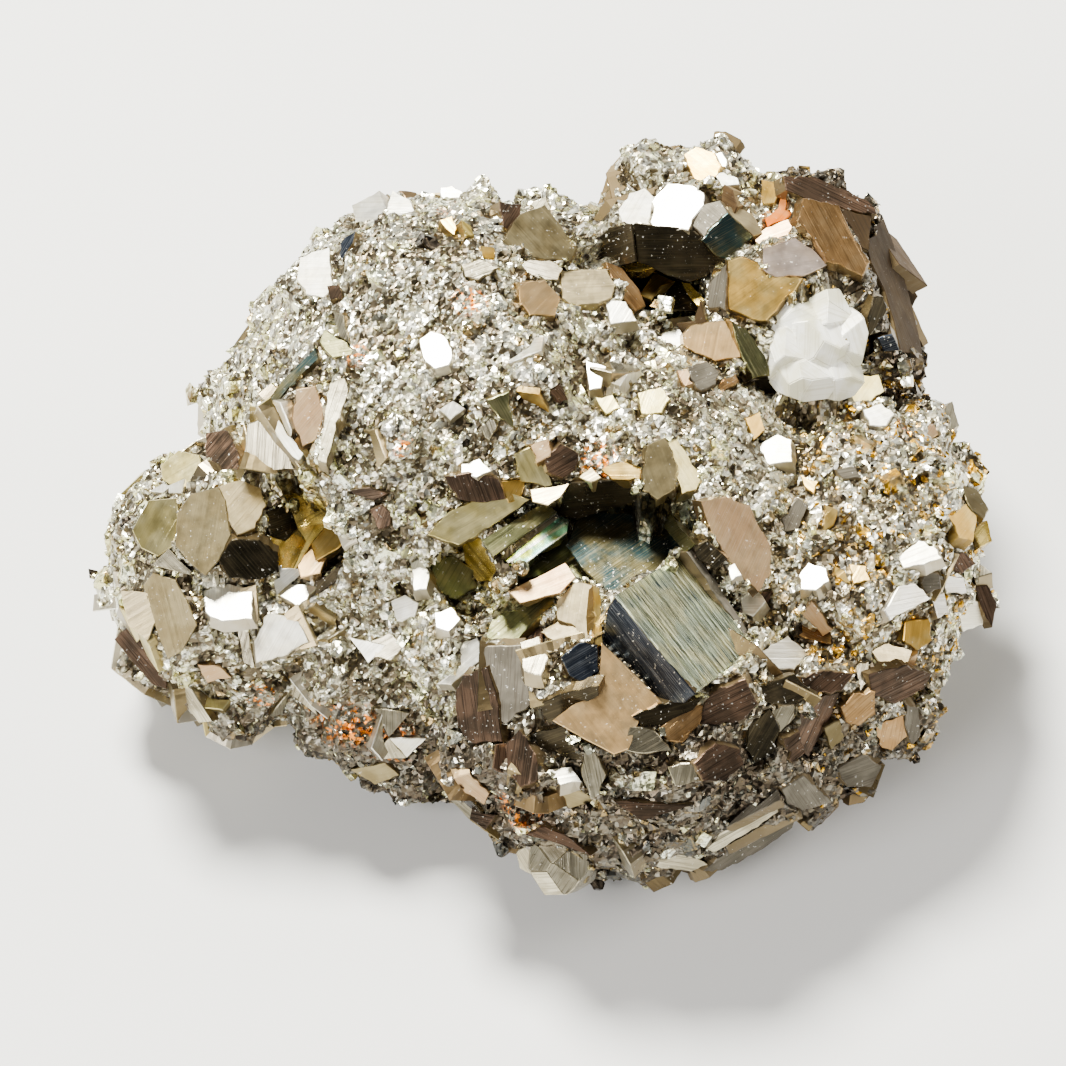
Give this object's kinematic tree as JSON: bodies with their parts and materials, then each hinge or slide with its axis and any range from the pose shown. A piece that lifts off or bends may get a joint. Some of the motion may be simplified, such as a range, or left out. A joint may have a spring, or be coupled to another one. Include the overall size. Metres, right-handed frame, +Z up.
{
  "type": "pyrite specimen",
  "caption": "Hand specimen of massive pyrite: a granular metallic lump with striated cubes and pyritohedra, small open hollows between them, and a flat break to rest on.",
  "frame": {"origin": "middle of the specimen's box, at the height of the flat break that it rests on", "axes": "+X along the specimen's length to the picture's right, +Y to its far side, +Z up"},
  "size_m": [0.048, 0.0404, 0.0258],
  "materials": {
    "pyrite": "metallic, pale brass to silver, faceted, with brown and orange tarnish"
  },
  "bodies": {
    "root": {"pyrite_cluster": "pyrite"}
  },
  "joints": []
}
